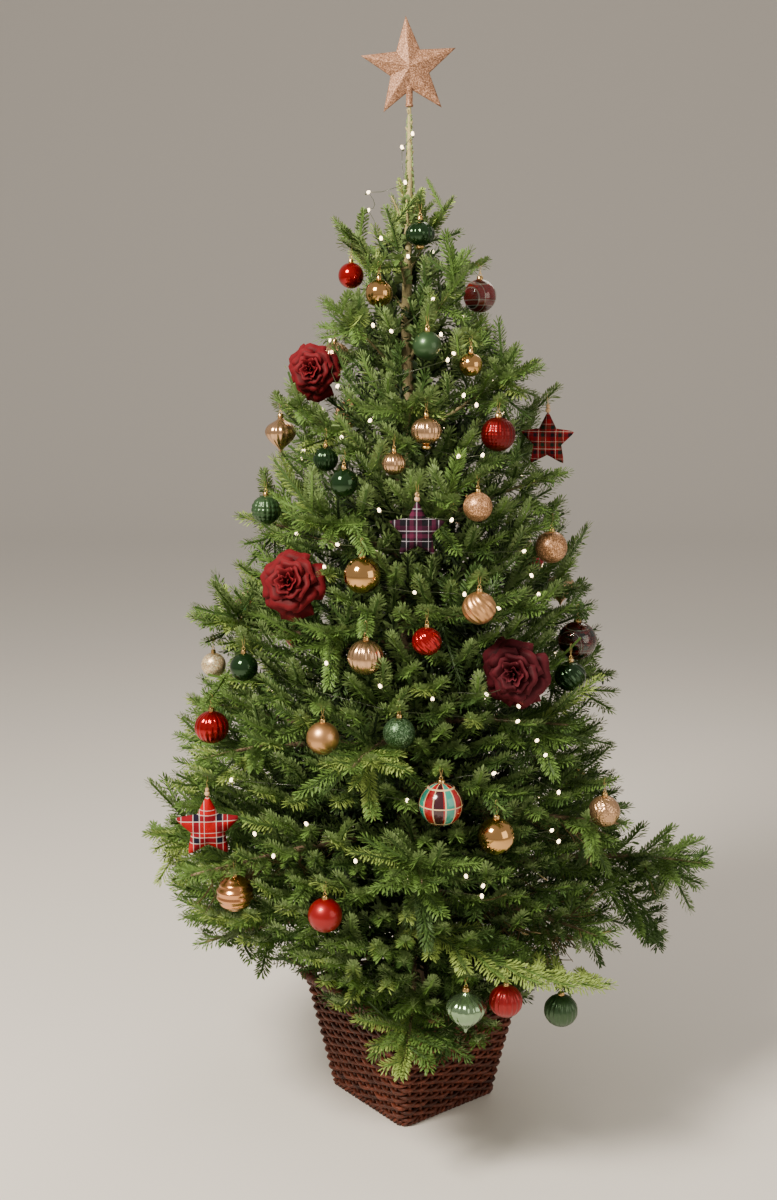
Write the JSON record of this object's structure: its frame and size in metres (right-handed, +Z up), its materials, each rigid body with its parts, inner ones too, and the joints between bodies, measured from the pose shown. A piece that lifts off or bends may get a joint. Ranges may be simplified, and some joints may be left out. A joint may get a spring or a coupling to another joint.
{
  "type": "christmas tree in a wicker basket",
  "caption": "Dense conical fir dressed as a Christmas tree, with a star topper, standing in a square tapered wicker basket filled with soil.",
  "frame": {"origin": "middle of the basket's flat underside, on the floor", "axes": "+Z up along the tree's height, -Y towards the side that is seen first, +X to its right"},
  "size_m": [1.1452, 1.046, 2.2017],
  "materials": {
    "needles": "satin",
    "bark": "matte",
    "bough_bark": "matte",
    "willow": "satin",
    "soil": "matte",
    "star": "satin",
    "bauble_gloss": "gloss",
    "bauble_matte": "satin",
    "bauble_clear": "gloss",
    "gold": "gloss",
    "silk_flower": "matte",
    "tartan": "matte",
    "beads": "satin",
    "light_wire": "gloss",
    "light_lens": "gloss"
  },
  "bodies": {
    "root": {"basket": "willow", "bough_1_1": "bough_bark", "bough_1_2": "bough_bark", "bough_1_3": "bough_bark", "bough_1_4": "bough_bark", "bough_1_5": "bough_bark", "bough_1_6": "bough_bark", "bough_2_1": "bough_bark", "bough_2_2": "bough_bark", "bough_2_3": "bough_bark", "bough_2_4": "bough_bark", "bough_2_5": "bough_bark", "bough_2_6": "bough_bark", "foliage_1_1": "needles", "foliage_1_2": "needles", "foliage_1_3": "needles", "foliage_1_4": "needles", "foliage_1_5": "needles", "foliage_1_6": "needles", "foliage_2_1": "needles", "foliage_2_2": "needles", "foliage_2_3": "needles", "foliage_2_4": "needles", "foliage_2_5": "needles", "foliage_2_6": "needles", "foliage_3_1": "needles", "foliage_3_2": "needles", "foliage_3_3": "needles", "foliage_3_4": "needles", "foliage_3_5": "needles", "foliage_3_6": "needles", "foliage_3_7": "needles", "foliage_4_1": "needles", "foliage_4_2": "needles", "foliage_4_3": "needles", "foliage_4_4": "needles", "foliage_4_5": "needles", "foliage_4_6": "needles", "foliage_5_1": "needles", "foliage_5_2": "needles", "foliage_5_3": "needles", "foliage_5_4": "needles", "foliage_5_5": "needles", "foliage_5_6": "needles", "foliage_6_1": "needles", "foliage_6_2": "needles", "foliage_6_3": "needles", "foliage_6_4": "needles", "foliage_6_5": "needles", "foliage_7_1": "needles", "foliage_7_2": "needles", "foliage_7_3": "needles", "foliage_7_4": "needles", "foliage_8_1": "needles", "foliage_8_2": "needles", "foliage_8_3": "needles", "foliage_8_4": "needles", "soil": "soil", "star_topper": "star", "trunk": "bark"}
  },
  "joints": []
}
